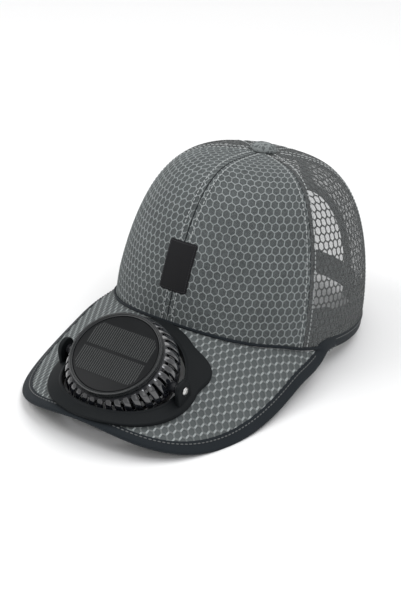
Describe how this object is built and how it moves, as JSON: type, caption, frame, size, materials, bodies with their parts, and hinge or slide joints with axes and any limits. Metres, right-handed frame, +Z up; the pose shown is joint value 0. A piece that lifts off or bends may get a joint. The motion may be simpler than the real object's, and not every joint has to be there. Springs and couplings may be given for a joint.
{
  "type": "solar fan hat",
  "caption": "Peaked mesh cap with a round solar-powered fan that tilts on two ears in a flange set in the peak.",
  "frame": {"origin": "middle of the hat's footprint on the floor", "axes": "+Z up, the peak points to -Y, the wearer's left is +X"},
  "size_m": [0.168, 0.2958, 0.1337],
  "materials": {
    "front_cloth": "light grey net over darker grey backing",
    "mesh_cloth": "see-through dark grey hexagon net",
    "tape_cloth": "dark navy grey woven tape, stitched",
    "label_cloth": "black woven patch",
    "matte_plastic": "charcoal moulded plastic",
    "gloss_plastic": "glossy black moulded plastic",
    "cell_face": "dark resin over fine cell lines",
    "screw_steel": "bright steel"
  },
  "bodies": {
    "cap": {"front_panel_left": "front_cloth", "front_panel_right": "front_cloth", "side_panel_left": "mesh_cloth", "side_panel_right": "mesh_cloth", "rear_panel_left": "mesh_cloth", "rear_panel_right": "mesh_cloth", "top_button": "front_cloth", "front_label": "label_cloth", "rear_strap": "tape_cloth", "sweatband": "tape_cloth", "rim_binding": "tape_cloth", "peak": "front_cloth", "peak_binding": "tape_cloth", "fan_plate": "matte_plastic", "clamp_ring": "matte_plastic", "pivot_screw_left": "screw_steel", "pivot_screw_right": "screw_steel"},
    "fan_head": {"panel_bezel": "matte_plastic", "solar_panel": "cell_face", "fan_guard": "gloss_plastic", "lower_grille": "matte_plastic", "motor": "matte_plastic"},
    "impeller": {"fan_blades": "gloss_plastic"}
  },
  "joints": [
    {"name": "fan_tilt", "type": "hinge", "parent": "cap", "child": "fan_head", "pos_m": [0, -0.10089, 0.03161], "axis": [1, 0, 0], "range_deg": [-42, 8]},
    {"name": "blade_spin", "type": "hinge", "parent": "fan_head", "child": "impeller", "pos_m": [0, -0.09873, 0.02812], "axis": [0, -0.5267, 0.8501], "continuous": true}
  ]
}
